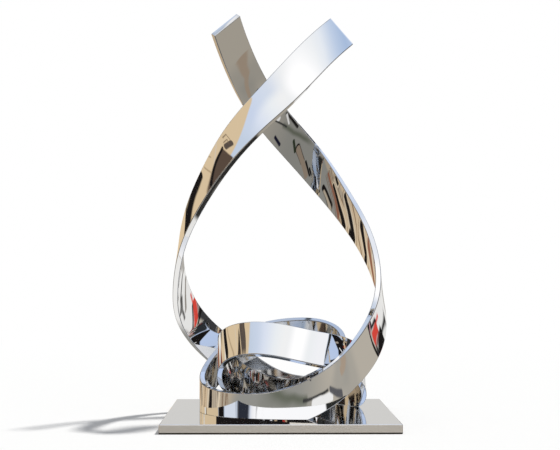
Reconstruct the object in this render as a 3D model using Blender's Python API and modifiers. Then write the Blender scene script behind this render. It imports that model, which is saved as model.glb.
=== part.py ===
"""Abstract ribbon sculpture: a bright steel flat bar, bent into a coil with two crossing arms, on a plate.

The bar follows a bend schedule. Looking straight down on the coil's upright axis as on a clock face, with
twelve at +Y and three at +X, a row gives the hour of one station, its reach out from the axis, the height
of the bar's middle above the plate, and how many degrees the bar's upper edge leans in toward the axis.
Arm A is read off as it stands and arm B after half a turn about the axis. Both end in the same inner coil,
and the two inner ends meet on the axis.

The origin is the middle of the plate's underside. Metres, +Z up.
"""
import math

import bpy
import bmesh
import numpy as np

# Plate
PLATE_SIDE = 0.400
PLATE_THICK = 0.016
PLATE_ARRIS = 0.0008

# Flat bar
BAR_WIDTH = 0.0635
BAR_THICK = 0.010
BAR_ARRIS = 0.0012
BAR_POINTS = 300            # sections along the bar, about 12 mm apart
BAR_STIFFNESS = 0.025       # a bend is spread over about this length

# Where the bar stands on the plate
COIL_AXIS_X = 0.005
WELD_GAP = 0.0003           # the ground foot stays this far off the plate, so the solids don't touch
HOUR = math.radians(30.0)
HALF_TURN = math.pi

# Bend schedule: hour, reach, height, lean in degrees
ARM_A = [
    (-3.55, 0.107, 0.695, 38),
    (-2.15, 0.084, 0.632, 30),
    (-0.75, 0.088, 0.562, 24),
    (0.65, 0.113, 0.480, 24),
    (1.60, 0.139, 0.395, 22),
    (2.50, 0.158, 0.310, 15),
    (3.30, 0.175, 0.228, 10),
    (4.05, 0.184, 0.142, 0),
    (4.65, 0.167, 0.080, -13),
    (5.30, 0.146, 0.040, -10),
    (6.20, 0.130, 0.016, -5),
    (7.20, 0.133, 0.011, -3),
    (8.20, 0.142, 0.017, -2),
    (9.20, 0.144, 0.038, 2),
    (10.20, 0.139, 0.080, 14),
]
ARM_B = [
    (-3.35, 0.110, 0.692, 26),
    (-1.50, 0.060, 0.622, 30),
    (0.35, 0.084, 0.555, 35),
    (1.25, 0.125, 0.488, 39),
    (1.85, 0.157, 0.411, 34),
    (2.40, 0.177, 0.336, 21),
    (3.12, 0.189, 0.252, 9),
    (3.90, 0.196, 0.168, 5),
    (4.60, 0.185, 0.106, -6),
    (5.25, 0.156, 0.058, -8),
    (6.00, 0.138, 0.026, -5),
    (6.90, 0.140, 0.019, -3),
    (7.80, 0.153, 0.024, -2),
    (8.70, 0.147, 0.049, 2),
    (9.60, 0.141, 0.086, 8),
    (10.40, 0.134, 0.108, 16),
]
INNER_COIL = [
    (11.20, 0.131, 0.118, 26),
    (12.20, 0.125, 0.133, 33),
    (13.20, 0.124, 0.132, 27),
    (14.20, 0.119, 0.109, 4),
    (15.10, 0.100, 0.071, -3),
    (15.90, 0.076, 0.042, 0),
    (16.90, 0.042, 0.029, 0),
]
MIDDLE_HEIGHT = 0.027


def remove_everything():
    for obj in list(bpy.data.objects):
        bpy.data.objects.remove(obj, do_unlink=True)


def new_collection(name):
    group = bpy.data.collections.new(name)
    bpy.context.scene.collection.children.link(group)
    return group


def metal(name, colour, roughness):
    material = bpy.data.materials.new(name)
    material.use_nodes = True
    shader = material.node_tree.nodes["Principled BSDF"]
    shader.inputs["Base Color"].default_value = (*colour, 1.0)
    shader.inputs["Metallic"].default_value = 1.0
    shader.inputs["Roughness"].default_value = roughness
    return material


def stations(rows, turn, tilt_sign):
    """Turn schedule rows into rows of x, y, z and tilt in radians."""
    placed = []
    for hour, reach, height, lean in rows:
        bearing = HOUR * hour + turn
        x = COIL_AXIS_X + reach * math.sin(bearing)
        y = reach * math.cos(bearing)
        placed.append((x, y, PLATE_THICK + height, tilt_sign * math.radians(lean)))
    return placed


def whole_schedule():
    """Arm A from its tip inward, the axis, then arm B outward, which is walked the other way round."""
    inward = stations(ARM_A + INNER_COIL, 0.0, 1.0)
    outward = stations(ARM_B + INNER_COIL, HALF_TURN, -1.0)[::-1]
    on_axis = (COIL_AXIS_X, 0.0, PLATE_THICK + MIDDLE_HEIGHT, 0.0)
    return np.array(inward + [on_axis] + outward)


def springy_line(rows, count, stiffness):
    """Draw count evenly spaced points near the rows, as a stiff bar held at them would lie.

    Each row pulls on the two points either side of it, and each run of four points resists a change of
    bend. The balance of the two is one set of linear equations.
    """
    chords = np.linalg.norm(np.diff(rows[:, :3], axis=0), axis=1)
    along = np.concatenate([[0.0], np.cumsum(chords)])
    spacing = along[-1] / (count - 1)
    place = along / spacing
    before = np.minimum(place.astype(int), count - 2)
    share = place - before
    pull = np.zeros((len(rows), count))
    pull[np.arange(len(rows)), before] = 1.0 - share
    pull[np.arange(len(rows)), before + 1] = share
    points_per_row = count / len(rows)
    weight = (stiffness / spacing) ** 3 / math.sqrt(points_per_row)
    resist = weight * np.diff(np.eye(count), n=3, axis=0)
    return np.linalg.solve(pull.T @ pull + resist.T @ resist, pull.T @ rows)


def bar_profile(name, group):
    """Make the bar's section, a rectangle with eased corners: across is its thickness, up its width."""
    half_thick = BAR_THICK / 2
    half_width = BAR_WIDTH / 2
    corners = []
    for side_x, side_y in ((1, 1), (-1, 1), (-1, -1), (1, -1)):
        on_face = (side_x * half_thick, side_y * (half_width - BAR_ARRIS))
        on_edge = (side_x * (half_thick - BAR_ARRIS), side_y * half_width)
        corners += [on_face, on_edge] if side_x == side_y else [on_edge, on_face]
    curve = bpy.data.curves.new(name, "CURVE")
    curve.dimensions = "2D"
    spline = curve.splines.new("POLY")
    spline.points.add(len(corners) - 1)
    for point, (across, up) in zip(spline.points, corners):
        point.co = (across, up, 0.0, 1.0)
    spline.use_cyclic_u = True
    profile = bpy.data.objects.new(name, curve)
    profile.hide_render = True
    profile.display_type = "WIRE"
    group.objects.link(profile)
    return profile


def swept_bar(name, group, profile, line):
    """Sweep the profile along the line, kept upright and then tilted, and return it as a closed mesh."""
    curve = bpy.data.curves.new(name + "_path", "CURVE")
    curve.dimensions = "3D"
    curve.twist_mode = "Z_UP"
    curve.bevel_mode = "OBJECT"
    curve.bevel_object = profile
    curve.use_fill_caps = True
    spline = curve.splines.new("POLY")
    spline.points.add(len(line) - 1)
    for point, (x, y, z, tilt) in zip(spline.points, line):
        point.co = (x, y, z, 1.0)
        point.tilt = tilt
    path = bpy.data.objects.new(name + "_path", curve)
    group.objects.link(path)
    mesh = bpy.data.meshes.new_from_object(path.evaluated_get(bpy.context.evaluated_depsgraph_get()))
    mesh.name = name
    bpy.data.objects.remove(path, do_unlink=True)
    weld_caps(mesh)
    bar = bpy.data.objects.new(name, mesh)
    group.objects.link(bar)
    return bar


def weld_caps(mesh):
    work = bmesh.new()
    work.from_mesh(mesh)
    bmesh.ops.remove_doubles(work, verts=work.verts, dist=0.00001)
    bmesh.ops.recalc_face_normals(work, faces=work.faces)
    work.to_mesh(mesh)
    work.free()


def block(name, group, size, middle):
    work = bmesh.new()
    bmesh.ops.create_cube(work, size=1.0)
    bmesh.ops.scale(work, verts=work.verts, vec=size)
    mesh = bpy.data.meshes.new(name)
    work.to_mesh(mesh)
    work.free()
    made = bpy.data.objects.new(name, mesh)
    made.location = middle
    group.objects.link(made)
    return made


def cut(target, cutter):
    cutter.hide_render = True
    cutter.display_type = "WIRE"
    modifier = target.modifiers.new("cut_" + cutter.name, "BOOLEAN")
    modifier.operation = "DIFFERENCE"
    modifier.solver = "EXACT"
    modifier.object = cutter


def make_plate(parts):
    """The square plate that the bar stands on."""
    size = (PLATE_SIDE, PLATE_SIDE, PLATE_THICK)
    plate = block("base_plate", parts, size, (0.0, 0.0, PLATE_THICK / 2))
    arris = plate.modifiers.new("arris", "BEVEL")
    arris.width = PLATE_ARRIS
    arris.segments = 2
    arris.limit_method = "ANGLE"
    plate.data.materials.append(metal("plate_steel", (0.66, 0.64, 0.61), 0.22))
    return plate


def make_ribbon(parts, cutters):
    """The bent bar, ground flat where its lower edge would run into the plate."""
    line = springy_line(whole_schedule(), BAR_POINTS, BAR_STIFFNESS)
    profile = bar_profile("bar_profile", cutters)
    ribbon = swept_bar("ribbon", parts, profile, line)
    ribbon.data.shade_smooth()
    ribbon.data.set_sharp_from_angle(angle=math.radians(30))
    floor_depth = PLATE_SIDE / 4
    floor_top = PLATE_THICK + WELD_GAP
    floor = block("foot_grinding", cutters, (PLATE_SIDE * 2, PLATE_SIDE * 2, floor_depth),
                  (0.0, 0.0, floor_top - floor_depth / 2))
    cut(ribbon, floor)
    ribbon.data.materials.append(metal("mirror_steel", (0.80, 0.81, 0.82), 0.04))
    return ribbon


def main():
    remove_everything()
    parts = new_collection("abstract_metal_sculpture")
    cutters = new_collection("cutters")
    make_plate(parts)
    make_ribbon(parts, cutters)


main()
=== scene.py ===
# %% [markdown]
# # A ribbon of mirror steel on a square plate
#
# This lesson dresses an abstract sculpture in Blender: one bright steel flat bar, bent into a coil with
# two crossing arms, standing on a polished plate. The solid model comes in as a fixed frame. It says
# where everything stands, and this script makes the surfaces that the eye sees.

# %% Load the frame
import math

import bmesh
import bpy
import numpy as np
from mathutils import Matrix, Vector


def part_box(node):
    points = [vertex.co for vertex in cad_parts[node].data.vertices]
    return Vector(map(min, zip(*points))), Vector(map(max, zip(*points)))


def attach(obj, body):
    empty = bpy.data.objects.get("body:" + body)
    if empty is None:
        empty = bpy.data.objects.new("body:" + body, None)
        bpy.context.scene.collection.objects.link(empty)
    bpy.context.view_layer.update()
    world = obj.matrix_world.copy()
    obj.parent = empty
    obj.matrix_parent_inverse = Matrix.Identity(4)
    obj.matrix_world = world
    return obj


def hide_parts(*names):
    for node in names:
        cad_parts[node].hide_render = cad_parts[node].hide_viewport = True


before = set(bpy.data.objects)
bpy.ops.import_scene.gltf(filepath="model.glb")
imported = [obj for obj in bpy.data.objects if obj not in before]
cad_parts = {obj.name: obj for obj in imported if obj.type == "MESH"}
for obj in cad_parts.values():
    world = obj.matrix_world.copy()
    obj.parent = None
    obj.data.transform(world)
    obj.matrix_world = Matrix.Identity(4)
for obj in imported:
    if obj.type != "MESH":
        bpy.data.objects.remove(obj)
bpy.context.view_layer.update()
plate_low, plate_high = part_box("base_plate")
ribbon_low, ribbon_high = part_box("ribbon")
PLATE_TOP = plate_high.z
PLATE_SIDE = plate_high.x - plate_low.x
print("plate", round(PLATE_SIDE, 4), "m square, top at", round(PLATE_TOP, 4), "m")
print("ribbon from", [round(v, 4) for v in ribbon_low], "to", [round(v, 4) for v in ribbon_high])


# %% [markdown]
# ## Writing nodes as sums
#
# A finish is a set of sums about places and directions, so it reads best as sums. The class below wraps
# one output socket. Adding, multiplying or comparing wires adds the Math node that does it. Every other
# node comes from one method, which sets the node up first and then fills its sockets.

# %% Wires and nodes
class Wire:
    """One output socket, usable in Python sums."""

    def __init__(self, tree, socket):
        self.tree = tree
        self.socket = socket

    def node(self, kind, settings=None, inputs=None, output=0):
        """Add a node to this wire's own tree."""
        return new_node(self.tree, kind, settings, inputs, output)

    def math_node(self, operation, *values):
        """Add a Math node that works on the values, in their order."""
        return self.node("ShaderNodeMath", {"operation": operation}, dict(enumerate(values)))

    def math(self, operation, *others):
        """Add a Math node that works on this wire and then on the others."""
        return self.math_node(operation, self, *others)

    def __add__(self, other):
        return self.math("ADD", other)

    def __sub__(self, other):
        return self.math("SUBTRACT", other)

    def __rsub__(self, other):
        return self.math_node("SUBTRACT", other, self)

    def __mul__(self, other):
        return self.math("MULTIPLY", other)

    def __truediv__(self, other):
        return self.math("DIVIDE", other)

    def __rtruediv__(self, other):
        return self.math_node("DIVIDE", other, self)

    def __gt__(self, other):
        return self.math("GREATER_THAN", other)

    def __lt__(self, other):
        return self.math("LESS_THAN", other)

    __radd__ = __add__
    __rmul__ = __mul__


def new_node(tree, kind, settings=None, inputs=None, output=0):
    """Add a node, set it up, then fill its sockets with wires or plain values."""
    node = tree.nodes.new(kind)
    for name, value in (settings or {}).items():
        if name == "stops":
            set_stops(node.color_ramp, value)
        elif name == "between_stops":
            node.color_ramp.interpolation = value
        else:
            setattr(node, name, value)
    for key, value in (inputs or {}).items():
        if isinstance(value, Wire):
            tree.links.new(value.socket, node.inputs[key])
        else:
            node.inputs[key].default_value = value
    return Wire(tree, node.outputs[output]) if node.outputs else node


def set_stops(ramp, stops):
    """Give a colour ramp its stops, as (position, colour) pairs."""
    while len(ramp.elements) < len(stops):
        ramp.elements.new(1.0)
    for element, (position, colour) in zip(ramp.elements, stops):
        element.position = position
        element.color = (*colour, 1.0)


print("nodes can be written as sums")


# %% [markdown]
# ## The camera
#
# The camera stands a little over two metres away with a portrait lens, a quarter of a metre above the
# plate, and looks up by a couple of degrees. From there the plate is a thin slice and the arms rise over
# the horizon.

# %% Camera
CAMERA_PLACE = (-0.0253, -2.157, 0.2619)
CAMERA_TILT_UP = math.radians(2.37)
CAMERA_TURN_RIGHT = math.radians(0.695)
LENS_MM = 76.4

camera = bpy.data.objects.new("camera", bpy.data.cameras.new("camera"))
camera.location = CAMERA_PLACE
camera.rotation_euler = (math.pi / 2 + CAMERA_TILT_UP, 0.0, -CAMERA_TURN_RIGHT)
camera.data.lens = LENS_MM
bpy.context.collection.objects.link(camera)
bpy.context.scene.camera = camera
print("camera", LENS_MM, "mm lens,", round(-CAMERA_PLACE[1], 2), "m in front")


# %% [markdown]
# ## The bend schedule
#
# A metal sculptor bends a long bar station by station. Each row below is one station: the clock hour
# about the coil's upright axis (seen from above, twelve at the back), the reach from that axis, the
# height of the bar's middle above the plate, and how many degrees its upper edge leans in. Arm B is
# turned half way round.

# %% Bend schedule
COIL_AXIS_X = 0.005
HOUR = math.radians(30.0)
ARM_A = [
    (-3.55, 0.107, 0.695, 38), (-2.15, 0.084, 0.632, 30), (-0.75, 0.088, 0.562, 24),
    (0.65, 0.113, 0.480, 24), (1.60, 0.139, 0.395, 22), (2.50, 0.158, 0.310, 15),
    (3.30, 0.175, 0.228, 10), (4.05, 0.184, 0.142, 0), (4.65, 0.167, 0.080, -13),
    (5.30, 0.146, 0.040, -10), (6.20, 0.130, 0.016, -5), (7.20, 0.133, 0.011, -3),
    (8.20, 0.142, 0.017, -2), (9.20, 0.144, 0.038, 2), (10.20, 0.139, 0.080, 14),
]
ARM_B = [
    (-3.35, 0.110, 0.692, 26), (-1.50, 0.060, 0.622, 30), (0.35, 0.084, 0.555, 35),
    (1.25, 0.125, 0.488, 39), (1.85, 0.157, 0.411, 34), (2.40, 0.177, 0.336, 21),
    (3.12, 0.189, 0.252, 9), (3.90, 0.196, 0.168, 5), (4.60, 0.185, 0.106, -6),
    (5.25, 0.156, 0.058, -8), (6.00, 0.138, 0.026, -5), (6.90, 0.140, 0.019, -3),
    (7.80, 0.153, 0.024, -2), (8.70, 0.147, 0.049, 2), (9.60, 0.141, 0.086, 8),
    (10.40, 0.134, 0.108, 16),
]
INNER_COIL = [
    (11.20, 0.131, 0.118, 26), (12.20, 0.125, 0.133, 33), (13.20, 0.124, 0.132, 27),
    (14.20, 0.119, 0.109, 4), (15.10, 0.100, 0.071, -3), (15.90, 0.076, 0.042, 0),
    (16.90, 0.042, 0.029, 0),
]
MIDDLE_HEIGHT = 0.027


def stations(rows, turn, tilt_sign):
    """Turn schedule rows into rows of x, y, z and tilt in radians."""
    placed = []
    for hour, reach, height, lean in rows:
        bearing = HOUR * hour + turn
        x = COIL_AXIS_X + reach * math.sin(bearing)
        y = reach * math.cos(bearing)
        placed.append((x, y, PLATE_TOP + height, tilt_sign * math.radians(lean)))
    return placed


schedule = np.array(
    stations(ARM_A + INNER_COIL, 0.0, 1.0)
    + [(COIL_AXIS_X, 0.0, PLATE_TOP + MIDDLE_HEIGHT, 0.0)]
    + stations(ARM_B + INNER_COIL, math.pi, -1.0)[::-1]
)
print(len(schedule), "stations along the bar")


# %% [markdown]
# ## A line that bends like steel
#
# Between stations a real bar doesn't turn in corners, and a mirror finish shows every change of bend.
# Some choices are a spline through the stations, which wiggles to touch each one, or a stiff line that is
# pulled toward them. The second is what steel does: each station pulls, each change of bend resists.

# %% The bar's middle line
RINGS = 1180
BAR_STIFFNESS = 0.025


def springy_line(rows, count, stiffness):
    """Draw count evenly spaced points near the rows, as a stiff bar held at them would lie."""
    chords = np.linalg.norm(np.diff(rows[:, :3], axis=0), axis=1)
    along = np.concatenate([[0.0], np.cumsum(chords)])
    spacing = along[-1] / (count - 1)
    balance = np.zeros((count, count))
    target = np.zeros((count, rows.shape[1]))
    for row, place in zip(rows, along / spacing):
        first = min(int(place), count - 2)
        pull = np.array([1.0 - (place - first), place - first])
        balance[first:first + 2, first:first + 2] += np.outer(pull, pull)
        target[first:first + 2] += np.outer(pull, row)
    change_of_bend = np.array([-1.0, 3.0, -3.0, 1.0])
    resist = (stiffness / spacing) ** 3 / math.sqrt(count / len(rows)) * change_of_bend
    for first in range(count - 3):
        balance[first:first + 4, first:first + 4] += np.outer(resist, resist)
    return np.linalg.solve(balance, target)


line = springy_line(schedule, RINGS, BAR_STIFFNESS)
bar_length = np.linalg.norm(np.diff(line[:, :3], axis=0), axis=1).sum()
ring_spacing_mm = 1000 * bar_length / RINGS
print("developed length", round(bar_length, 3), "m, a ring every", round(ring_spacing_mm, 1), "mm")


# %% [markdown]
# ## The bar's section
#
# Flat bar is a rectangle with its corners just eased. The corners are small arcs. The long sides also get
# a few points of their own, because a bar that twists has a slightly different slope at every height, and
# two points very near each arc, so that smooth shading keeps the flats flat up to the corner. Each point
# also carries whether it lies inside an arc, because the corners are painted darker, as painted shade.

# %% Section outline
BAR_WIDTH = 0.0635
BAR_THICK = 0.010
CORNER_RADIUS = 0.0012
CORNER_STEPS = 4
SIDE_STEPS = 8
GUARD = 0.0003


def bar_section():
    """The section's outline, anticlockwise, as rows of across, up and 1 inside a corner's arc."""
    across = BAR_THICK / 2 - CORNER_RADIUS
    up = BAR_WIDTH / 2 - CORNER_RADIUS
    outline = []
    for quarter, (side_x, side_y) in enumerate(((1, 1), (-1, 1), (-1, -1), (1, -1))):
        for step in range(CORNER_STEPS + 1):
            angle = math.pi / 2 * (quarter + step / CORNER_STEPS)
            inside_arc = 1.0 if 0 < step < CORNER_STEPS else 0.0
            outline.append((side_x * across + CORNER_RADIUS * math.cos(angle),
                            side_y * up + CORNER_RADIUS * math.sin(angle), inside_arc))
        if side_x == side_y:
            outline += [(side_x * (across - GUARD), side_y * (up + CORNER_RADIUS), 0.0),
                        (-side_x * (across - GUARD), side_y * (up + CORNER_RADIUS), 0.0)]
        else:
            reach = up - GUARD
            for step in range(SIDE_STEPS + 1):
                height = reach * (1 - 2 * step / SIDE_STEPS)
                outline.append((side_x * (across + CORNER_RADIUS), side_y * height, 0.0))
    return outline


def outline_object(name, outline):
    """A closed wire of points, for a node tree to sweep. It carries the corners as an attribute."""
    mesh = bpy.data.meshes.new(name)
    loop = [(i, (i + 1) % len(outline)) for i in range(len(outline))]
    mesh.from_pydata([(across, up, 0.0) for across, up, corner in outline], loop, [])
    eased = mesh.attributes.new("eased", "FLOAT", "POINT")
    eased.data.foreach_set("value", [corner for across, up, corner in outline])
    made = bpy.data.objects.new(name, mesh)
    bpy.context.collection.objects.link(made)
    return made


section = outline_object("bar_section", bar_section())
print("section has", len(section.data.vertices), "points")


# %% [markdown]
# ## Sweeping the bar with Geometry Nodes
#
# The tree turns the middle line into a curve whose section always stands upright, tilts it by the lean of
# each station and sweeps the section along. Where the bar dips into the plate, the real one is ground
# flat. Here each point that is too low slides back up along the bar's own width, which keeps the faces
# true.

# %% Node tree for a swept bar
SAME_POINT = 0.00001


def add_input(tree, name, kind, default=None):
    """Give a tree a named input, and return the identifier that sets it."""
    socket = tree.interface.new_socket(name, in_out="INPUT", socket_type=kind)
    if default is not None:
        socket.default_value = default
    return socket.identifier


def swept_bar_tree():
    """Build the tree, and return it with the identifiers of its inputs."""
    tree = bpy.data.node_groups.new("swept_bar", "GeometryNodeTree")
    names = {"Line": add_input(tree, "Line", "NodeSocketGeometry")}
    names["Section"] = add_input(tree, "Section", "NodeSocketObject")
    names["Foot level"] = add_input(tree, "Foot level", "NodeSocketFloat", PLATE_TOP)
    names["Finish"] = add_input(tree, "Finish", "NodeSocketMaterial")
    tree.interface.new_socket("Bar", in_out="OUTPUT", socket_type="NodeSocketGeometry")
    given = tree.nodes.new("NodeGroupInput")
    wire = {name: Wire(tree, given.outputs[name]) for name in names}

    def node(kind, settings=None, inputs=None, output=0):
        return new_node(tree, kind, settings, inputs, output)

    lean = node("GeometryNodeInputNamedAttribute", {"data_type": "FLOAT"}, {"Name": "lean"})
    curve = node("GeometryNodeMeshToCurve", None, {"Mesh": wire["Line"]})
    curve = node("GeometryNodeSetCurveNormal", {"mode": "Z_UP"}, {"Curve": curve})
    curve = node("GeometryNodeSetCurveTilt", None, {"Curve": curve, "Tilt": lean})
    tangent = node("GeometryNodeInputTangent")
    normal = node("GeometryNodeInputNormal")
    width_way = node("ShaderNodeVectorMath", {"operation": "CROSS_PRODUCT"}, {0: normal, 1: tangent})
    curve = node("GeometryNodeStoreNamedAttribute", {"data_type": "FLOAT_VECTOR"},
                 {"Geometry": curve, "Name": "width_way", "Value": width_way})
    outline = node("GeometryNodeObjectInfo", None, {"Object": wire["Section"]}, "Geometry")
    outline = node("GeometryNodeMeshToCurve", None, {"Mesh": outline})
    bar = node("GeometryNodeCurveToMesh", None,
               {"Curve": curve, "Profile Curve": outline, "Fill Caps": True})
    place = node("GeometryNodeInputPosition")
    height = node("ShaderNodeSeparateXYZ", None, {"Vector": place}, "Z")
    way = node("GeometryNodeInputNamedAttribute", {"data_type": "FLOAT_VECTOR"}, {"Name": "width_way"})
    rise = node("ShaderNodeSeparateXYZ", None, {"Vector": way}, "Z")
    short = wire["Foot level"] - height
    slide = node("ShaderNodeVectorMath", {"operation": "SCALE"}, {0: way, "Scale": short / rise})
    bar = node("GeometryNodeSetPosition", None,
               {"Geometry": bar, "Selection": short > 0.0, "Offset": slide})
    bar = node("GeometryNodeMergeByDistance", None, {"Geometry": bar, "Distance": SAME_POINT})
    bar = node("GeometryNodeRealizeInstances", None, {"Geometry": bar})
    bar = node("GeometryNodeSetMaterial", None, {"Geometry": bar, "Material": wire["Finish"]})
    node("NodeGroupOutput", None, {"Bar": bar})
    return tree, names


bar_tree, bar_inputs = swept_bar_tree()
print("swept_bar tree has", len(bar_tree.nodes), "nodes")


# %% [markdown]
# ## Helpers for the finishes
#
# Every finish here starts from the same few things: a place on the piece in its own metres, soft noise
# with lumps of a known size, a bump whose height is in metres, a mix of two colours and a Principled
# shader. A size in metres is easier to judge than a texture's scale, and Object coordinates keep a
# pattern on its piece. The colour sockets of a Mix node share their names with its other sockets, so they
# go by number.

# %% Finish helpers
NOISE_LOW = 0.3
NOISE_HIGH = 0.7
MIX_FIRST = 6
MIX_SECOND = 7
MIX_RESULT = 2


def object_place(tree):
    """Where the shaded point is, in the piece's own metres."""
    return new_node(tree, "ShaderNodeTexCoord", output="Object")


def noise(place, size, detail):
    """Soft noise from 0 to 1, with lumps of about the given size, in the place's own unit."""
    return place.node("ShaderNodeTexNoise", None, {"Vector": place, "Scale": 1.0 / size, "Detail": detail})


def spread(value, low, high):
    """Stretch the middle of a noise, where nearly all of it lies, over low to high."""
    values = {"Value": value, "From Min": NOISE_LOW, "From Max": NOISE_HIGH, "To Min": low, "To Max": high}
    return value.node("ShaderNodeMapRange", None, values)


def new_finish(name, metallic=1.0):
    """A material with a plain Principled shader, whose colour and softness are still to come."""
    material = bpy.data.materials.new(name)
    material.use_nodes = True
    shader = material.node_tree.nodes["Principled BSDF"]
    shader.inputs["Metallic"].default_value = metallic
    return material, material.node_tree, shader


def metre_bump(height):
    """A normal from a height in metres."""
    return height.node("ShaderNodeBump", None, {"Strength": 1.0, "Distance": 1.0, "Height": height})


def two_colours(tree, share, first, second):
    """Mix two colours, each a wire or a plain colour: all of the first at share 0, of the second at 1."""
    values = {"Factor": share}
    for key, colour in ((MIX_FIRST, first), (MIX_SECOND, second)):
        values[key] = colour if isinstance(colour, Wire) else (*colour, 1.0)
    return new_node(tree, "ShaderNodeMix", {"data_type": "RGBA"}, values, MIX_RESULT)


print("finish helpers ready")


# %% [markdown]
# ## Mirror steel
#
# A stainless bar that is ground, sanded and buffed ends up as a mirror. Nearly all of its look comes from
# what stands around it, and the finish itself only shows in small things. The mirror is a little softer
# where the wheel worked longer, and the flats keep a faint swell from the bending, so straight edges seem
# to flow: noise gives both. Painted shade darkens the steel inside the coil and on faces that look down
# under the high arms. Inside the coil the steel is also softer, because the wheel hardly gets in. The eased
# corners are painted dark as well: the attribute that the section carries turns them into thin lines
# of painted shade.

# %% Mirror steel
STEEL_COLOUR = (0.87, 0.875, 0.88)
PAINTED_SHADE_STEEL = (0.66, 0.66, 0.655)
PAINTED_CORNER_SHADE = (0.22, 0.22, 0.225)
CORNER_SHARE = 0.9
INSIDE_BELOW = 0.19
COIL_REACH = 0.162
FACES_DOWN = -0.02
UNDERSIDE_FROM = 0.28
UNDERSIDE_FULL = 0.50
SWELL_LENGTH = 0.050
SWELL_HEIGHT = 0.00006
BUFFING_LENGTH = 0.030
BUFFED_SMOOTH = 0.012
BUFFED_SOFT = 0.040
UNREACHED_SOFTER = 0.045


def coil_and_underside(tree, place):
    """Two masks: 1 inside the coil, and 1 on faces that look down under the high arms."""
    facing = new_node(tree, "ShaderNodeNewGeometry", output="Normal")
    level_place = place.node("ShaderNodeVectorMath", {"operation": "MULTIPLY"},
                             {0: place, 1: (1.0, 1.0, 0.0)})
    outward = facing.node("ShaderNodeVectorMath", {"operation": "DOT_PRODUCT"},
                          {0: facing, 1: level_place}, "Value")
    height = new_node(tree, "ShaderNodeSeparateXYZ", None, {"Vector": place}, "Z")
    down = new_node(tree, "ShaderNodeSeparateXYZ", None, {"Vector": facing}, "Z")
    reach = level_place.node("ShaderNodeVectorMath", {"operation": "LENGTH"}, {0: level_place}, "Value")
    inside = (outward < 0.0) * (height < INSIDE_BELOW) * (reach < COIL_REACH)
    high = height.node("ShaderNodeMapRange", {"interpolation_type": "SMOOTHSTEP"},
                       {"Value": height, "From Min": UNDERSIDE_FROM, "From Max": UNDERSIDE_FULL})
    return inside, (down < FACES_DOWN) * high


def mirror_finish():
    """Bright steel, with painted shade inside the coil, under the high arms and along the eased corners."""
    material, tree, shader = new_finish("mirror_steel")
    place = object_place(tree)
    inside, under_arms = coil_and_underside(tree, place)
    # Painted shade: darker steel inside the coil and on the faces that look down under the high arms.
    colour = two_colours(tree, inside + under_arms, STEEL_COLOUR, PAINTED_SHADE_STEEL)
    # Painted shade: the eased corners become thin dark lines.
    eased = new_node(tree, "ShaderNodeAttribute", {"attribute_name": "eased"}, output="Fac")
    colour = two_colours(tree, eased * CORNER_SHARE, colour, PAINTED_CORNER_SHADE)
    buffing = noise(place, BUFFING_LENGTH, detail=3.0)
    softness = spread(buffing, BUFFED_SMOOTH, BUFFED_SOFT) + inside * UNREACHED_SOFTER
    swell = noise(place, SWELL_LENGTH, detail=1.0) * SWELL_HEIGHT
    tree.links.new(colour.socket, shader.inputs["Base Color"])
    tree.links.new(softness.socket, shader.inputs["Roughness"])
    tree.links.new(metre_bump(swell).socket, shader.inputs["Normal"])
    return material


mirror_steel = mirror_finish()
print("mirror steel swells", round(SWELL_HEIGHT * 1000, 3), "mm over", SWELL_LENGTH * 1000, "mm")


# %% [markdown]
# ## The ribbon
#
# On the real piece the bar is one length, cold bent round formers, with its coil welded shut on the plate
# and its two ends sawn square. The middle line becomes an open wire, the tree sweeps the section along
# it, and the result is taken off as a plain mesh. The sawn rims are rounded a little, as a file would
# leave them.

# %% Sweep the ribbon
WELD_GAP = 0.0003
END_EASE = 0.0009
SIDE_FACE_CORNERS = 4
SHARP_ANGLE = math.radians(35)


def line_object(name, points):
    """An open wire through the points, which carries their tilt as an attribute."""
    mesh = bpy.data.meshes.new(name)
    steps = [(i, i + 1) for i in range(len(points) - 1)]
    mesh.from_pydata([tuple(p[:3]) for p in points], steps, [])
    lean = mesh.attributes.new("lean", "FLOAT", "POINT")
    lean.data.foreach_set("value", points[:, 3].astype(np.float32))
    made = bpy.data.objects.new(name, mesh)
    bpy.context.collection.objects.link(made)
    return made


def apply_tree(obj, tree, values):
    """Run a node tree on an object and return its result as a plain mesh."""
    modifier = obj.modifiers.new(tree.name, "NODES")
    modifier.node_group = tree
    for identifier, value in values.items():
        modifier[identifier] = value
    evaluated = obj.evaluated_get(bpy.context.evaluated_depsgraph_get())
    mesh = bpy.data.meshes.new_from_object(evaluated)
    obj.modifiers.remove(modifier)
    return mesh


def ease_ends(mesh):
    """Round the rims of the two sawn ends a little."""
    made = bmesh.new()
    made.from_mesh(mesh)
    caps = [face for face in made.faces if len(face.verts) > SIDE_FACE_CORNERS]
    rims = [edge for face in caps for edge in face.edges]
    bmesh.ops.bevel(made, geom=rims, offset=END_EASE, segments=2, profile=0.5, affect="EDGES")
    made.to_mesh(mesh)
    made.free()
    print("eased", len(caps), "ends")


route = line_object("bar_route", line)
ribbon_mesh = apply_tree(route, bar_tree, {
    bar_inputs["Section"]: section,
    bar_inputs["Foot level"]: PLATE_TOP + WELD_GAP,
    bar_inputs["Finish"]: mirror_steel,
})
ribbon_mesh.name = "polished_ribbon"
ribbon = bpy.data.objects.new("polished_ribbon", ribbon_mesh)
bpy.context.collection.objects.link(ribbon)
for helper in (route, section):
    bpy.data.objects.remove(helper, do_unlink=True)
ease_ends(ribbon_mesh)
ribbon_mesh.shade_smooth()
ribbon_mesh.set_sharp_from_angle(angle=SHARP_ANGLE)
print("ribbon has", len(ribbon_mesh.polygons), "faces")

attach(ribbon, "root")
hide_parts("ribbon")


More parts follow.
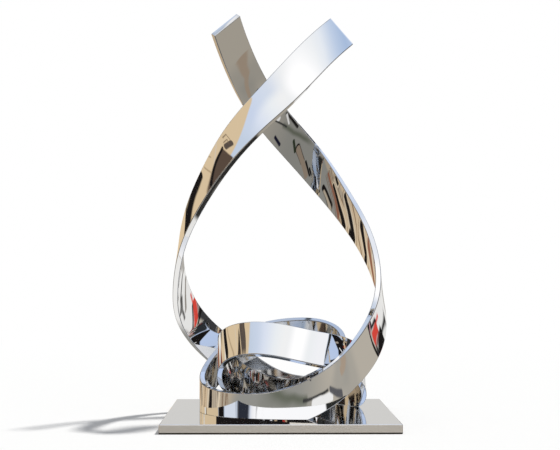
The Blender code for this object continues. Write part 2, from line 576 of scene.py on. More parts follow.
# %% [markdown]
# ## The plate
#
# The foot is a square of thick plate. Its face is buffed like the bar, and its sawn sides are only
# sanded, with the grain of the belt running along them and a thin painted shadow where they meet the floor.
# A cube with a bevel makes the shape. The edges where the bevel meets the flats are kept sharp, so that
# the shading of the flats stays flat right up to the bright arris.

# %% Plate
ARRIS = 0.0015
ARRIS_STEPS = 4
CUBE_SIDES = 6


def make_plate():
    """The plate as one piece, with rounded edges between flats that shade flat."""
    made = bmesh.new()
    bmesh.ops.create_cube(made, size=1.0)
    middle = (plate_low + plate_high) / 2
    sides = plate_high - plate_low
    for corner in made.verts:
        for axis in range(3):
            corner.co[axis] = middle[axis] + corner.co[axis] * sides[axis]
    bmesh.ops.bevel(made, geom=made.edges[:], offset=ARRIS, segments=ARRIS_STEPS, profile=0.5,
                    affect="EDGES")
    flats = sorted(made.faces, key=lambda face: -face.calc_area())[:CUBE_SIDES]
    for face in made.faces:
        face.smooth = True
    for face in flats:
        for edge in face.edges:
            edge.smooth = False
    mesh = bpy.data.meshes.new("polished_plate")
    made.to_mesh(mesh)
    made.free()
    piece = bpy.data.objects.new("polished_plate", mesh)
    bpy.context.collection.objects.link(piece)
    return piece


plate = make_plate()
print("plate has", len(plate.data.polygons), "faces")


# %% [markdown]
# ## The plate's finish
#
# One material serves the whole plate, and the way that a face looks says which finish it has: buffed if
# it looks up, and sanded if not. The grain is noise that is stretched along the plate and squeezed
# upright, only a few thousandths of a millimetre deep. A painted shadow along the foot is a plain dark
# colour below a certain height.

# %% Plate finish
FACES_UP = 0.8
SIDE_COLOUR = (0.72, 0.70, 0.665)
SIDE_ROUGHNESS = 0.30
FOOT_SHADOW_LINE = 0.0026
FOOT_SHADOW_COLOUR = (0.040, 0.034, 0.028)
GRAIN_LENGTH = 0.060
GRAIN_WIDTH = 0.0006
GRAIN_HEIGHT = 0.000004
PLATE_SMOOTH = 0.015
PLATE_SOFT = 0.045
PLATE_SWELL_LENGTH = 0.080
PLATE_SWELL_HEIGHT = 0.00003


def plate_finish():
    """Buffed steel on top, sanded steel on the sides and a painted shadow along the foot."""
    material, tree, shader = new_finish("plate_steel")
    place = object_place(tree)
    facing = new_node(tree, "ShaderNodeNewGeometry", output="Normal")
    sanded = facing.node("ShaderNodeSeparateXYZ", None, {"Vector": facing}, "Z") < FACES_UP
    height = place.node("ShaderNodeSeparateXYZ", None, {"Vector": place}, "Z")
    colour = two_colours(tree, sanded, STEEL_COLOUR, SIDE_COLOUR)
    # A painted shadow: the lowest few millimetres of the plate turn dark, where it meets the floor.
    colour = two_colours(tree, height < FOOT_SHADOW_LINE, colour, FOOT_SHADOW_COLOUR)
    buffed = spread(noise(place, BUFFING_LENGTH, detail=3.0), PLATE_SMOOTH, PLATE_SOFT)
    rough = buffed + sanded * (SIDE_ROUGHNESS - (PLATE_SMOOTH + PLATE_SOFT) / 2)
    along = place.node("ShaderNodeMapping", None, {
        "Vector": place, "Scale": (1 / GRAIN_LENGTH, 1 / GRAIN_LENGTH, 1 / GRAIN_WIDTH)})
    grain = noise(along, size=1.0, detail=3.0) * sanded * GRAIN_HEIGHT
    swell = noise(place, PLATE_SWELL_LENGTH, detail=1.0) * PLATE_SWELL_HEIGHT
    tree.links.new(colour.socket, shader.inputs["Base Color"])
    tree.links.new(rough.socket, shader.inputs["Roughness"])
    tree.links.new(metre_bump(grain + swell).socket, shader.inputs["Normal"])
    return material


plate.data.materials.append(plate_finish())
print("plate grain", GRAIN_WIDTH * 1000, "mm wide and", GRAIN_LENGTH * 1000, "mm long")

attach(plate, "root")
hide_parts("base_plate")


# %% [markdown]
# ## The floor
#
# A plain pale floor takes the soft shadows. Further out it fades into plain glowing white, so that it
# runs into the white behind without a line, as a sweep of studio paper does. The steel doesn't mirror it:
# what the steel mirrors is painted in the next steps.

# %% Floor
FLOOR_RADIUS = 12.0
FLOOR_SIDES = 96
FLOOR_PALE = 0.92
WHITE = (1.0, 1.0, 1.0, 1.0)
FADE_FROM = 0.8
FADE_TO = 2.6

bpy.ops.mesh.primitive_circle_add(vertices=FLOOR_SIDES, radius=FLOOR_RADIUS, fill_type="NGON",
                                  location=(0, 0, 0))
floor = bpy.context.object
floor.name = "studio_floor"
floor_material, floor_tree, floor_shader = new_finish("pale_floor", metallic=0.0)
floor_shader.inputs["Base Color"].default_value = (FLOOR_PALE, FLOOR_PALE, FLOOR_PALE, 1.0)
floor_shader.inputs["Roughness"].default_value = 1.0
floor_shader.inputs["Specular IOR Level"].default_value = 0.0
spot = object_place(floor_tree)
reach = spot.node("ShaderNodeVectorMath", {"operation": "LENGTH"}, {0: spot}, "Value")
fade = reach.node("ShaderNodeMapRange", {"interpolation_type": "SMOOTHSTEP"},
                  {"Value": reach, "From Min": FADE_FROM, "From Max": FADE_TO})
glow = new_node(floor_tree, "ShaderNodeEmission", None, {"Color": WHITE, "Strength": 1.0})
matt_floor = Wire(floor_tree, floor_shader.outputs["BSDF"])
faded = new_node(floor_tree, "ShaderNodeMixShader", None, {"Fac": fade, 1: matt_floor, 2: glow})
floor_tree.links.new(faded.socket, floor_tree.nodes["Material Output"].inputs["Surface"])
floor.data.materials.append(floor_material)
floor.visible_glossy = False
print("floor", 2 * FLOOR_RADIUS, "m across, fading from", FADE_FROM, "m")


# %% [markdown]
# ## What the steel mirrors
#
# A mirror shows its surroundings, so they have to be there. This bar stood in a paved court under a
# bright sky, with a sandstone house to the left. Real walls could be modelled, or a few broad shapes can
# be painted on the world by direction, which costs nothing. A direction is a bearing, 0 toward the
# camera's side and growing to the right, and a rise over the horizon, both in degrees. Most edges are
# soft, and a noise bends them a little, as the steel would.

# %% Directions
FLOW_DEGREES = 1.2
FLOW_SCALE = 3.0
FLOW_OTHER_SCALE = 3.9

world = bpy.data.worlds.new("studio")
bpy.context.scene.world = world
world.use_nodes = True
world.cycles.sampling_method = "NONE"
sky_tree = world.node_tree
sky_tree.nodes.clear()


def world_node(kind, settings=None, inputs=None, output=0):
    """Add a node to the world's own tree."""
    return new_node(sky_tree, kind, settings, inputs, output)


way = world_node("ShaderNodeTexCoord", output="Object")
way_x = world_node("ShaderNodeSeparateXYZ", None, {"Vector": way}, "X")
way_y = world_node("ShaderNodeSeparateXYZ", None, {"Vector": way}, "Y")
way_z = world_node("ShaderNodeSeparateXYZ", None, {"Vector": way}, "Z")
flow = noise(way, 1 / FLOW_SCALE, detail=1.0)
flow_again = noise(way, 1 / FLOW_OTHER_SCALE, detail=1.0)
true_bearing = way_x.math("ARCTAN2", way_y * -1.0).math("DEGREES")
true_rise = way_z.math("ARCSINE").math("DEGREES")
bearing = true_bearing + (flow - 0.5) * FLOW_DEGREES
rise = true_rise + (flow_again - 0.5) * FLOW_DEGREES
print("directions ready, flowing by up to", FLOW_DEGREES / 2, "degrees")


# %% [markdown]
# ## Masks
#
# Each painted thing is a colour and a mask, which is 1 where the thing shows. A mask is a product of soft
# steps: one for each side of a rectangle, or a single one over the distance from the middle of a round
# cloud. Map Range with a smooth step makes the soft edge, and a Mix node lays the colour over what is
# there.

# %% Masks and paint
def above(value, edge, soft):
    """0 below the edge, 1 above it, and a soft change as wide as soft on either side."""
    values = {"Value": value, "From Min": edge - soft, "From Max": edge + soft}
    return value.node("ShaderNodeMapRange", {"interpolation_type": "SMOOTHSTEP"}, values)


def between(value, low, high, soft):
    """1 from low to high and 0 outside, with both edges soft."""
    return above(value, low, soft) * (1.0 - above(value, high, soft))


def patch(bearings, rises, soft=1.0):
    """A soft-edged rectangle of directions, whose edges flow a little."""
    return between(bearing, *bearings, soft) * between(rise, *rises, soft)


def window(bearings, rises, soft_ends, soft_levels):
    """A rectangle of directions with straight edges, which can be softer one way than the other."""
    return between(true_bearing, *bearings, soft_ends) * between(true_rise, *rises, soft_levels)


def cloud(middle, reach, soft):
    """A round or oval patch that fades outward from its middle."""
    across = (true_bearing - middle[0]) / reach[0]
    up = (true_rise - middle[1]) / reach[1]
    distance = (across * across + up * up).math("SQRT")
    return 1.0 - above(distance, 1.0, soft)


def paint(under, colour, mask):
    """Lay a colour over what is there, where the mask is 1."""
    return two_colours(sky_tree, mask, under, colour)


print("masks ready")


# %% [markdown]
# ## The sky
#
# A hazy sky is white around the sun and bluer away from it, so a ramp over the bearing paints most of it.
# A bluer band, a white zenith and a low white are laid over it. The glow is laid on last as bright haze
# and soft clouds, over 1 in the middle, which is what makes the steel sparkle there. The only sharp edge
# is the right end of the low white, where the sky turns blue.

# %% Sky
SKY_BY_BEARING = [
    (-180, (0.60, 0.73, 1.0)), (-100, (0.60, 0.69, 0.84)), (-76, (0.61, 0.70, 0.84)),
    (-43, (0.79, 0.85, 0.98)), (-12, (0.94, 0.97, 1.0)), (10, (1.0, 1.0, 1.0)),
    (62, (0.96, 0.98, 1.0)), (68, (0.90, 0.94, 1.0)), (75, (0.58, 0.69, 0.88)),
    (80, (0.44, 0.57, 0.80)), (92, (0.72, 0.80, 0.96)), (180, (0.60, 0.73, 1.0)),
]
ZENITH = (0.90, 0.93, 1.0)
ZENITH_FROM = 68.0
LOW_WHITE = (1.0, 1.0, 1.03)
LOW_WHITE_FROM = -41.0
LOW_WHITE_TO = 77.4
LOW_WHITE_RISES = (5.0, 41.0)
BRIGHT_HAZE = (1.22, 1.21, 1.22)
BLUE_BAND = (0.52, 0.63, 0.86)
BLUE_BAND_SHARE = 0.5
SUN_GLOW = (1.2, 1.18, 1.18)
GLOWS = [((46, 55), (20, 7), 0.6), ((-62, 78), (70, 8), 0.5)]

view = world_node("ShaderNodeValToRGB",
                  {"stops": [(turn / 360 + 0.5, colour) for turn, colour in SKY_BY_BEARING]},
                  {"Fac": true_bearing / 360 + 0.5})
view = paint(view, BLUE_BAND, window((-60, 10), (40, 56), 18.0, 4.0) * BLUE_BAND_SHARE)
view = paint(view, ZENITH, above(true_rise, ZENITH_FROM, 7.0))
left_end = above(true_bearing, LOW_WHITE_FROM, 2.0)
right_end = 1.0 - above(true_bearing, LOW_WHITE_TO, 0.6)
view = paint(view, LOW_WHITE, left_end * right_end * between(true_rise, *LOW_WHITE_RISES, 4.0))
view = paint(view, BRIGHT_HAZE, window((-38, 38), (11, 24), 5.0, 3.0))
for middle, reach, soft in GLOWS:
    view = paint(view, SUN_GLOW, cloud(middle, reach, soft))
print("sky painted, with", len(GLOWS), "glowing clouds")


# %% [markdown]
# ## Far buildings, trees and people
#
# Along the horizon stand a pale wall, houses and trees, and people in front of them. People are many and
# small, so a one-dimensional Voronoi texture over the bearing stands for them: each cell is one figure,
# with a tone and a height of its own.

# %% Far things
PALE_WALL = (0.66, 0.65, 0.63)
PALE_WALL_RISES = (-3.0, 9.0)
FAR_HOUSE = (0.030, 0.031, 0.029)
TREES = (0.030, 0.034, 0.040)
FAR_THINGS = [
    (FAR_HOUSE, (28, 118), (5, 26), 1.2), (FAR_HOUSE, (77.6, 118), (20, 33), 0.6),
    (TREES, (104, 150), (3, 28), 2.0),
]
CROWD_WIDTH = 9.0
CROWD_SHORT = 4.0
CROWD_TALLER = 10.0
CROWD_FEET = -4.0
CROWD_ENDS = 165.0
CROWD_TONES = [
    (0.0, (0.012, 0.011, 0.011)), (0.62, (0.50, 0.38, 0.25)), (0.76, (0.86, 0.85, 0.88)),
    (0.90, (0.42, 0.045, 0.035)),
]

view = paint(view, PALE_WALL, between(rise, *PALE_WALL_RISES, 1.0))
for colour, bearings, rises, soft in FAR_THINGS:
    view = paint(view, colour, patch(bearings, rises, soft))
cell = world_node("ShaderNodeTexVoronoi", {"voronoi_dimensions": "1D"},
                  {"W": bearing / CROWD_WIDTH, "Randomness": 1.0}, "Color")
tone = cell.node("ShaderNodeSeparateColor", None, {"Color": cell}, "Red")
people = tone.node("ShaderNodeValToRGB", {"between_stops": "CONSTANT", "stops": CROWD_TONES}, {"Fac": tone})
height = cell.node("ShaderNodeSeparateColor", None, {"Color": cell}, "Green") * CROWD_TALLER + CROWD_SHORT
crowd = above(height - rise, 0.0, 0.6) * above(rise, CROWD_FEET, 1.0)
crowd = crowd * above(CROWD_ENDS - bearing.math("ABSOLUTE"), 0.0, 2.0)
view = paint(view, people, crowd)
print("far things painted, a figure every", CROWD_WIDTH, "degrees")


# %% [markdown]
# ## Strokes
#
# Ledges, puddles and shadows are long and thin, and many of them bend, so a rectangle doesn't suit them.
# How far a direction is from a straight stretch makes a stroke with round ends, and the nearest of a few
# stretches makes a bent one. The sum for one stretch is a node group, which keeps the world's tree short
# enough to read.

# %% Strokes
STROKE_SOFT = 0.35


def stretch_group():
    """A node group that says how far a direction is from a straight stretch between two others."""
    group = bpy.data.node_groups.new("stretch_distance", "ShaderNodeTree")
    names = ("Bearing", "Rise", "Start bearing", "Start rise", "Run", "Climb")
    for name in names:
        group.interface.new_socket(name, in_out="INPUT", socket_type="NodeSocketFloat")
    group.interface.new_socket("Distance", in_out="OUTPUT", socket_type="NodeSocketFloat")
    given = group.nodes.new("NodeGroupInput")
    at_bearing, at_rise, start_bearing, start_rise, run, climb = (
        Wire(group, given.outputs[name]) for name in names)
    across = at_bearing - start_bearing
    up = at_rise - start_rise
    share = (across * run + up * climb) / (run * run + climb * climb)
    share = share.math("MAXIMUM", 0.0).math("MINIMUM", 1.0)
    off_across = across - share * run
    off_up = up - share * climb
    distance = (off_across * off_across + off_up * off_up).math("SQRT")
    new_node(group, "NodeGroupOutput", None, {"Distance": distance})
    return group


stretch = stretch_group()


def distance_to(start, end):
    """How far a direction is from the stretch between two others."""
    return world_node("ShaderNodeGroup", {"node_tree": stretch}, {
        "Bearing": bearing, "Rise": rise, "Start bearing": start[0], "Start rise": start[1],
        "Run": end[0] - start[0], "Climb": end[1] - start[1]})


def trail(points):
    """How far a direction is from a line through the points."""
    nearest = distance_to(points[0], points[1])
    for start, end in zip(points[1:], points[2:]):
        nearest = nearest.math("MINIMUM", distance_to(start, end))
    return nearest


def paint_trails(under, marks):
    """Lay down a list of (colour, half width, points) as strokes with round ends."""
    for colour, half_width, points in marks:
        under = paint(under, colour, 1.0 - above(trail(points), half_width, STROKE_SOFT))
    return under


print("strokes ready")


# %% [markdown]
# ## The house
#
# Seen from a low place, a long straight cornice doesn't keep one rise: it stands highest where it's
# nearest and falls off on both sides. The tangent of its rise follows the cosine of the bearing, so one
# line of sums gives the eaves. Below them are sandstone, a dark gateway, a few ledges and gleams, and
# straight behind, at bearing 180, the tops of dark trees.

# %% House
SANDSTONE = (0.76, 0.59, 0.38)
GATEWAY = (0.11, 0.075, 0.055)
NEAR_BLACK = (0.012, 0.010, 0.010)
ROOF_FACING = -52.0
ROOF_SLOPE = 1.17
HOUSE_END = -30.0
HOUSE_FOOT = 27.0
GATE_LEFT = -122.0
GATE_SILL = 23.5
GATE_TOP = 42.0
GATE_CLIMB = 0.326
TREE_CREST = 6.0
TREE_TOP = 21.0
TREE_SLOPE = 0.8
TREE_FOOT = 9.5
TREES_REACH = 28.0
HOUSE_MARKS = [
    ((0.95, 0.97, 1.0), 1.0, [(-171, 13.0), (-169, 18.0)]),
    ((0.80, 0.78, 0.76), 0.9, [(171, 13.5), (170.5, 16.0)]),
    ((0.60, 0.68, 0.80), 1.2, [(-152, 12.0), (-150, 18.0)]),
    ((0.42, 0.36, 0.30), 1.3, [(-162, 21.0), (-165, 26.0)]),
    (SANDSTONE, 1.5, [(-176, 1.2), (-164, 4.2), (-148, 9.5)]),
    (NEAR_BLACK, 0.7, [(-121, 25.0), (-108, 28.5), (-95, 33.0)]),
    ((0.11, 0.085, 0.070), 1.7, [(-92.6, 35.6), (-85.4, 40.6)]),
    ((0.20, 0.14, 0.09), 0.3, [(-88, 32.5), (-83, 35.0), (-84, 39.0)]),
    ((0.20, 0.14, 0.09), 0.3, [(-91, 33.5), (-86, 36.5), (-88, 38.5)]),
    (NEAR_BLACK, 1.0, [(-153, 8.2), (-140, 12.5), (-124, 18.3)]),
    ((0.45, 0.33, 0.20), 0.3, [(-116, 25.0), (-119, 20.0)]),
    ((0.45, 0.33, 0.20), 0.3, [(-109, 24.0), (-116, 15.0)]),
    ((1.0, 0.98, 0.92), 1.4, [(-150, -0.5), (-142, 3.0)]),
    (NEAR_BLACK, 0.9, [(-140, 3.5), (-134, 6.0)]),
    ((0.85, 0.82, 0.76), 1.0, [(-136, 5.5), (-128, 9.0)]),
    (NEAR_BLACK, 1.2, [(-127, 9.0), (-121, 12.0)]),
    ((0.35, 0.33, 0.31), 0.7, [(-138, 41.5), (-128, 45.0)]),
    ((0.07, 0.08, 0.09), 1.8, [(-159, 56.5), (-164, 58.5)]),
]

from_back = 180.0 - bearing.math("ABSOLUTE")
tree_tops = (from_back - TREE_CREST).math("MAXIMUM", 0.0) * TREE_SLOPE + TREE_TOP
behind = above(rise, TREE_FOOT, 1.0) * above(tree_tops - rise, 0.0, 0.8)
view = paint(view, NEAR_BLACK, behind * (1.0 - above(from_back, TREES_REACH, 1.0)))
eaves = (true_bearing - ROOF_FACING).math("RADIANS").math("COSINE") * ROOF_SLOPE
roof = eaves.math("ARCTANGENT").math("DEGREES")
house = above(roof - true_rise, 0.0, 0.5) * (1.0 - above(bearing, HOUSE_END, 2.0))
house = house * above(rise, HOUSE_FOOT, 1.0)
wall = patch((-150, -92), (2.0, 27.5))
view = paint(view, SANDSTONE, house.math("MAXIMUM", wall))
sill = (bearing - GATE_LEFT) * GATE_CLIMB + GATE_SILL
gate = above(rise - sill, 0.0, 0.6) * patch((-126, -95.6), (0, GATE_TOP), 0.8)
view = paint(view, GATEWAY, gate)
view = paint_trails(view, HOUSE_MARKS)
print("house painted, with", len(HOUSE_MARKS), "ledges and gleams")


# %% [markdown]
# ## The ground
#
# The court is tan to the left, grey in front and beige to the right, with a dull strip across the tan and
# pale paving under the horizon. A few broad fields of colour stand for it, each a sum or a patch.
# Straight lines on the ground climb or fall over the bearings as the cornice does, and over a short way a
# slant is close enough.

# %% Ground
TAN_GROUND = (0.70, 0.54, 0.36)
DULL_TAN = (0.50, 0.42, 0.32)
GREY_GROUND = (0.32, 0.315, 0.29)
BEIGE_GROUND = (0.51, 0.465, 0.395)
PAVING = (0.84, 0.79, 0.71)
TAN_END = -55.0
GREY_EDGE_BEARING = -73.0
GREY_EDGE_RISE = -10.8
GREY_EDGE_CLIMB = 0.18
BEIGE_FROM = 16.0
BEIGE_LEAN = 1.6
BEIGE_LEAN_FROM = 36.0
AWNING_SHADE = 0.4
AWNING_SHADE_LEAN = 1.2
GREY_SPOT = 0.5

ground = above(true_rise * -1.0, 1.0, 1.0)
grey_climb = ((bearing - GREY_EDGE_BEARING) * GREY_EDGE_CLIMB).math("MINIMUM", 0.0)
grey = above(grey_climb + GREY_EDGE_RISE - rise, 0.0, 0.8)
beige = above(bearing, BEIGE_FROM, 30.0) * above(bearing - rise * BEIGE_LEAN, BEIGE_LEAN_FROM, 8.0)
view = paint(view, TAN_GROUND, ground * (1.0 - above(bearing, TAN_END, 2.0)))
view = paint(view, DULL_TAN, patch((-126, -54), (-11.4, -8.2), 0.6))
view = paint(view, GREY_GROUND, ground * grey)
view = paint(view, PAVING, patch((-52, 44), (-9.5, -1)))
view = paint(view, BEIGE_GROUND, ground * beige)
shaded = between(bearing + rise * AWNING_SHADE_LEAN, 28.0, 48.0, 6.0) * between(rise, -27.0, -13.0, 2.0)
view = paint(view, GREY_GROUND, shaded * AWNING_SHADE)
view = paint(view, GREY_GROUND, cloud((51, -24), (13, 4), 0.5) * GREY_SPOT)
print("ground painted, tan up to bearing", TAN_END)


# %% [markdown]
# ## Puddles and ripples
#
# Puddles and wet shadows lie on the tan ground as long strokes, most of them with a pale rim, which is a
# painted highlight. Thin lines nest around them like wood grain, because the bent steel folds the paving's
# joints around them. The same distance sum that draws a stroke draws its ripples: the fraction of the
# distance repeats, and its first part is a joint.

# %% Puddles
BROWN = (0.30, 0.13, 0.08)
JOINT = (0.20, 0.12, 0.07)
PALE_TAN = (0.92, 0.78, 0.58)
RIPPLE_SPACING = 1.5
RIPPLE_SHARE = 0.42
RIPPLES_REACH = (1.3, 4.4)
RIPPLE_STRENGTH = 0.75
RIM_HIGHLIGHT_REACH = (1.3, 2.0)
RIM_HIGHLIGHT_STRENGTH = 0.8
PUDDLES = [
    (NEAR_BLACK, 1.1, [(-88, -12.0), (-96, -13.6), (-105, -14.7), (-117, -15.0)]),
    (BROWN, 1.0, [(-74, -11.6), (-85, -13.8), (-98, -15.9), (-107, -17.0)]),
    (NEAR_BLACK, 1.1, [(-108, -8.0), (-114, -9.4), (-130, -10.4), (-123, -12.4)]),
    (NEAR_BLACK, 1.0, [(-136, -4.4), (-150, -5.0), (-147, -6.8)]),
    (BROWN, 0.9, [(-152, -2.0), (-170, -3.0)]),
    (NEAR_BLACK, 0.8, [(-94, -8.4), (-86, -7.2)]),
]

nearest = trail(PUDDLES[0][2])
for colour, half_width, points in PUDDLES[1:]:
    nearest = nearest.math("MINIMUM", trail(points))
ripples = (nearest / RIPPLE_SPACING).math("FRACT") < RIPPLE_SHARE
ripples = ripples * between(nearest, *RIPPLES_REACH, 0.3) * patch((-172, -72), (-19, -1))
rim_highlight = between(nearest, *RIM_HIGHLIGHT_REACH, 0.25) * patch((-172, -86), (-15, -1))
view = paint(view, JOINT, ripples * RIPPLE_STRENGTH)
# A painted highlight: a pale rim round each puddle.
view = paint(view, PALE_TAN, rim_highlight * RIM_HIGHLIGHT_STRENGTH)
view = paint_trails(view, PUDDLES)
print("painted", len(PUDDLES), "puddles, with a ripple every", RIPPLE_SPACING, "degrees")


# %% [markdown]
# ## Lawn, marks and posts
#
# Nearer the bar lie a lawn, dark shadows and white painted lines, which the lower ring mirrors as thin
# flowing lines. Two long painted shadows run along the horizon, and posts with a pale gap between them
# stand to the left. Most are strokes again, and the lawn fades in from the left, so that its end doesn't
# show.

# %% Lawn, marks and posts
DARK_GREEN = (0.030, 0.040, 0.022)
PAINT_AND_GLEAM_WHITE = (0.95, 0.94, 0.93)
LAWN = (0.15, 0.16, 0.125)
LAWN_LINE = [(-40, -13.0), (-20, -17.8), (-8, -20.8), (5, -22.4)]
LAWN_HALF_WIDTH = 1.2
LAWN_FROM = -30.0
GROUND_MARKS = [
    (NEAR_BLACK, 2.0, [(-76, -21.2), (-95, -21.0)]),
    (DULL_TAN, 0.9, [(-79, -22.0), (-96, -21.6)]),
    (NEAR_BLACK, 2.6, [(-20, -24.6), (-33, -27.2)]),
    ((0.33, 0.26, 0.20), 2.2, [(-21, -24.8), (-36, -28.0), (-47, -30.5)]),
    (DARK_GREEN, 1.1, [(-12, -24.0), (-19, -27.5)]),
    (NEAR_BLACK, 0.9, [(-37, -25.0), (-51, -28.0)]),
    (NEAR_BLACK, 0.9, [(-46, -25.0), (-57, -27.0)]),
    ((0.012, 0.012, 0.03), 0.9, [(9, -30.0), (1, -31.5)]),
    (NEAR_BLACK, 0.7, [(-9, -17.2), (8, -16.6)]),
    (PAINT_AND_GLEAM_WHITE, 0.6, [(7, -16.9), (1, -19.5)]),
    ((0.05, 0.05, 0.05), 0.5, [(2, -21.8), (11, -23.0), (22, -24.2), (32, -24.6)]),
    (PAINT_AND_GLEAM_WHITE, 1.5, [(13, -21.3), (22, -22.3), (36, -22.2)]),
    ((0.11, 0.11, 0.12), 1.1, [(35, -24.3), (42, -22.0), (48, -20.6)]),
    ((0.43, 0.34, 0.26), 0.9, [(52, -24.5), (66, -22.0), (80, -23.5)]),
]
LONG_PAINTED_SHADOWS = [
    (NEAR_BLACK, 1.3, [(-95, 3.2), (-50, 1.8), (-28, -1.0), (-10, -3.5)]),
    (NEAR_BLACK, 1.3, [(-10, 4.8), (14, 4.8)]),
]
POST_RISES = (5.0, 27.0)
POSTS = [
    (NEAR_BLACK, (-91.5, -80.0), 1.5), ((0.80, 0.86, 0.97), (-79.0, -60.0), 1.5),
    ((0.03, 0.035, 0.05), (-58.0, -43.0), 2.0),
]

lawn = 1.0 - above(trail(LAWN_LINE), LAWN_HALF_WIDTH, LAWN_HALF_WIDTH)
view = paint(view, LAWN, lawn * above(true_bearing, LAWN_FROM, 9.0))
# Painted shadows: the two long dark lines along the horizon.
view = paint_trails(view, GROUND_MARKS + LONG_PAINTED_SHADOWS)
standing = between(true_rise, *POST_RISES, 0.8)
for colour, bearings, soft in POSTS:
    view = paint(view, colour, between(bearing, *bearings, soft) * standing)
print("painted", len(GROUND_MARKS), "marks on the ground")


# %% [markdown]
# ## Under the bar
#
# Straight under the bar is its own bright plinth, nearly white. To the right lies a dark shade, whose
# upper edge climbs to the right, more steeply at first, with a white gleam along it. A steel face that
# leans down sees little else, so these few sums make the undersides.

# %% Under the bar
PLINTH = (0.94, 0.925, 0.90)
PLINTH_FROM = -52.0
EDGE_END = 120.0
EDGE_END_RISE = -25.8
EDGE_CLIMB = 0.25
EDGE_BEND = 75.0
EDGE_STEEPER = 0.2
GLEAM_BEARINGS = (26.0, 84.0)
GLEAM_WIDTH = 4.0
GLEAM_STRENGTH = 0.8
SHADE = (0.035, 0.034, 0.032)
SHADE_BEARINGS = (26.0, 114.0)
SHADE_LOWEST = -59.0

view = paint(view, PLINTH, 1.0 - above(true_rise, PLINTH_FROM, 6.0))
steeper = (EDGE_BEND - true_bearing).math("MAXIMUM", 0.0) * EDGE_STEEPER
edge = (true_bearing - EDGE_END) * EDGE_CLIMB + EDGE_END_RISE - steeper
gleam = between(true_bearing, *GLEAM_BEARINGS, 3.0) * between(true_rise - edge, 0.0, GLEAM_WIDTH, 0.6)
# A painted highlight: a white gleam along the upper edge of the shade.
view = paint(view, PAINT_AND_GLEAM_WHITE, gleam * GLEAM_STRENGTH)
shade = between(true_bearing, *SHADE_BEARINGS, 3.0) * above(true_rise, SHADE_LOWEST, 1.5)
view = paint(view, SHADE, shade * above(edge - true_rise, 0.0, 0.6))
print("plinth painted below", PLINTH_FROM, "degrees")


# %% [markdown]
# ## Things to the right
#
# To the right stand a charcoal awning, a red shade with black posts and a pale house front with slanted
# dark ledges. Most are small on the steel and sharp, so they're strokes with narrow soft edges. The
# awning's foot slants down to the right, so it's a sum.

# %% Right-hand things
CHARCOAL = (0.045, 0.045, 0.048)
RED = (0.72, 0.070, 0.050)
DARK_RED = (0.16, 0.030, 0.022)
PINK = (0.42, 0.24, 0.27)
PALE_FACADE = (0.88, 0.87, 0.85)
AWNING_BEARINGS = (56.0, 104.0)
AWNING_TOP = 15.0
AWNING_END = 100.0
AWNING_END_RISE = -3.2
AWNING_FALL = 0.225
RIGHT_MARKS = [
    (NEAR_BLACK, 1.2, [(99.5, -2.0), (97.5, -5.5), (99, -8.2), (106, -7.8)]),
    (NEAR_BLACK, 1.3, [(100, -1.2), (112, -0.2), (126, 0.6)]),
    (RED, 1.3, [(102.5, -4.6), (110, -3.6), (117, -2.6)]),
    (RED, 0.35, [(117, -3.4), (127, -2.2)]),
    (NEAR_BLACK, 0.45, [(104, -6.6), (112, -5.1), (118, -3.7)]),
    (DARK_RED, 0.3, [(105, -2.6), (112, -1.6), (118, -1.2)]),
    (PINK, 0.6, [(99.5, -7.0), (104, -8.0)]),
    (NEAR_BLACK, 0.35, [(120, 0.3), (136, 0.8), (152, 0.6)]),
    ((0.26, 0.23, 0.20), 0.6, [(129, -6.6), (140, -4.2), (150, -1.2)]),
    ((0.09, 0.085, 0.08), 0.35, [(126, -8.0), (137, -7.4), (150, -5.0)]),
    ((0.07, 0.065, 0.06), 0.5, [(139, -8.0), (152, -5.2), (164, -1.6)]),
    ((0.40, 0.38, 0.36), 0.4, [(108, -8.6), (118, -9.2)]),
    ((0.45, 0.43, 0.40), 0.7, [(160, -0.8), (176, -0.6)]),
]

awning_foot = (AWNING_END - bearing) * AWNING_FALL + AWNING_END_RISE
awning = between(bearing, *AWNING_BEARINGS, 0.8) * above(rise - awning_foot, 0.0, 0.5)
view = paint(view, CHARCOAL, awning * (1.0 - above(rise, AWNING_TOP, 1.0)))
view = paint(view, PALE_FACADE, patch((105, 172), (-10, 2.6), 0.5))
view = paint_trails(view, RIGHT_MARKS)
print("right side painted, with", len(RIGHT_MARKS), "marks")


# %% [markdown]
# ## Plain white to the eye, soft white on matt things
#
# The painted court is only for the mirror. The eye looks past the steel at plain white, and the matt
# floor is lit by an even, very slightly blue light, so that its shadows come out clean. The light path
# tells which is which.

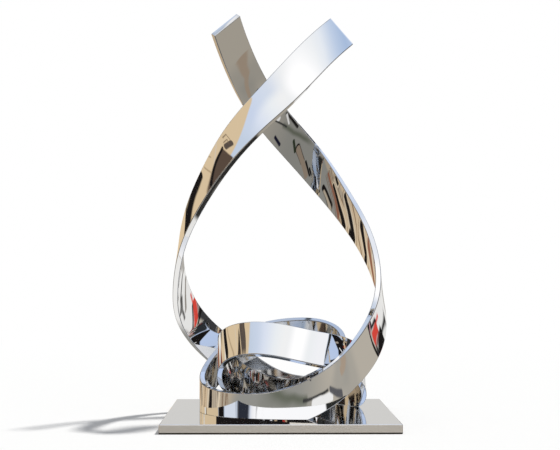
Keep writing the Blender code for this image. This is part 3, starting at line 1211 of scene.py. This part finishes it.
# %% Plain and soft light
SOFT_LIGHT = 0.40
SOFT_COLOUR = (0.95, 0.98, 1.03, 1.0)

path = world_node("ShaderNodeLightPath", output="Is Camera Ray")
matt = world_node("ShaderNodeLightPath", output="Is Diffuse Ray")
mirrored = world_node("ShaderNodeBackground", None, {"Color": view, "Strength": 1.0})
plain = world_node("ShaderNodeBackground", None, {"Color": WHITE, "Strength": 1.0})
soft = world_node("ShaderNodeBackground", None, {"Color": SOFT_COLOUR, "Strength": SOFT_LIGHT})
shown = world_node("ShaderNodeMixShader", None, {"Fac": matt, 1: mirrored, 2: soft})
shown = world_node("ShaderNodeMixShader", None, {"Fac": path, 1: shown, 2: plain})
world_node("ShaderNodeOutputWorld", None, {"Surface": shown})
print("world has", len(sky_tree.nodes), "nodes")


# %% [markdown]
# ## The sun
#
# One soft sun from the right throws the ribbon's long loop on the floor, to the left of the plate.

# %% Sun
SUN_BEARING = math.radians(108.0)
SUN_RISE = math.radians(64.0)
SUN_POWER = 2.45
SUN_COLOUR = (1.0, 0.985, 0.95)
SUN_SOFTNESS = math.radians(4.0)

sun = bpy.data.objects.new("soft_sun", bpy.data.lights.new("soft_sun", "SUN"))
sun.data.energy = SUN_POWER
sun.data.color = SUN_COLOUR
sun.data.angle = SUN_SOFTNESS
sun.rotation_euler = (0.0, math.pi / 2 - SUN_RISE, SUN_BEARING - math.pi / 2)
sun.visible_glossy = False
bpy.context.collection.objects.link(sun)
print("sun at", round(math.degrees(SUN_RISE)), "degrees")


# %% [markdown]
# ## Bounces and colours
#
# In the coil the light goes from mirror to mirror many times, so two mirror bounces more than the usual
# four keep most of it from ending in black. The Standard view keeps white white.

# %% Bounces
MIRROR_BOUNCES = 6
ALL_BOUNCES = 10

bpy.context.scene.cycles.max_bounces = ALL_BOUNCES
bpy.context.scene.cycles.glossy_bounces = MIRROR_BOUNCES
bpy.context.scene.view_settings.view_transform = "Standard"
print(MIRROR_BOUNCES, "mirror bounces, of", ALL_BOUNCES, "in all")
